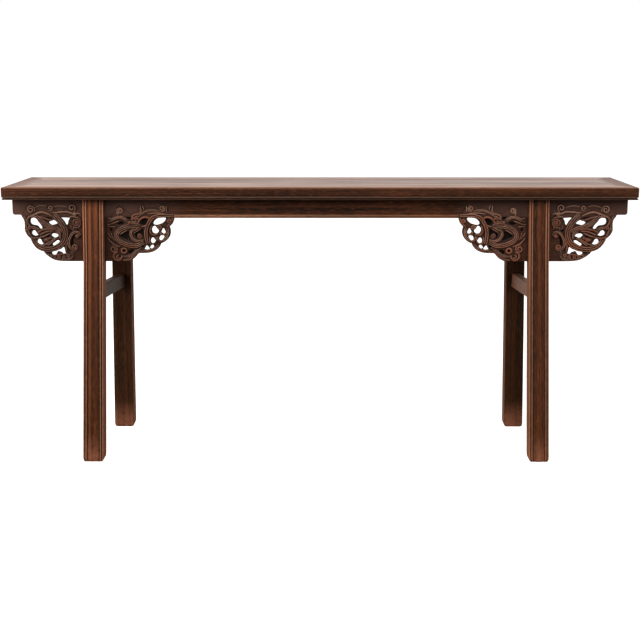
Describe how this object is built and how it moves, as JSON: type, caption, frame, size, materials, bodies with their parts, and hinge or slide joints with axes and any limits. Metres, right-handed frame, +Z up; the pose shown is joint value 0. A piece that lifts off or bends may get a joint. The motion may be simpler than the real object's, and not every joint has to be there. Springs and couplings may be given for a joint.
{
  "type": "altar table",
  "caption": "Long narrow altar table with a mitred framed top, splayed recessed legs forked over beaded aprons, pierced carved spandrel wings and side stretchers.",
  "frame": {"origin": "on the floor below the middle of the top", "axes": "+X along the table's length towards its right end seen from the front, -Y out of the carved front, +Z up"},
  "size_m": [2, 0.472, 0.885],
  "materials": {
    "frame_wood": "worn satin lacquer on dark hardwood",
    "panel_wood": "polished lacquer on reddish-brown hardwood",
    "batten_wood": "unpolished dark hardwood",
    "leg_wood": "worn satin lacquer, orange-brown where rubbed",
    "apron_wood": "dark satin lacquer",
    "carved_wood": "dark lacquer rubbed through on the high relief",
    "stretcher_wood": "dark satin lacquer"
  },
  "bodies": {
    "root": {"top_front_rail": "frame_wood", "top_back_rail": "frame_wood", "top_left_end_rail": "frame_wood", "top_right_end_rail": "frame_wood", "top_front_board": "panel_wood", "top_back_board": "panel_wood", "top_batten_1": "batten_wood", "top_batten_2": "batten_wood", "top_batten_3": "batten_wood", "top_batten_4": "batten_wood", "front_left_leg": "leg_wood", "front_right_leg": "leg_wood", "back_left_leg": "leg_wood", "back_right_leg": "leg_wood", "front_apron": "apron_wood", "back_apron": "apron_wood", "left_end_apron": "apron_wood", "right_end_apron": "apron_wood", "back_left_outer_wing": "apron_wood", "back_left_inner_wing": "apron_wood", "back_right_outer_wing": "apron_wood", "back_right_inner_wing": "apron_wood", "front_left_outer_wing": "carved_wood", "front_left_inner_wing": "carved_wood", "front_right_outer_wing": "carved_wood", "front_right_inner_wing": "carved_wood", "left_stretcher": "stretcher_wood", "right_stretcher": "stretcher_wood"}
  },
  "joints": []
}
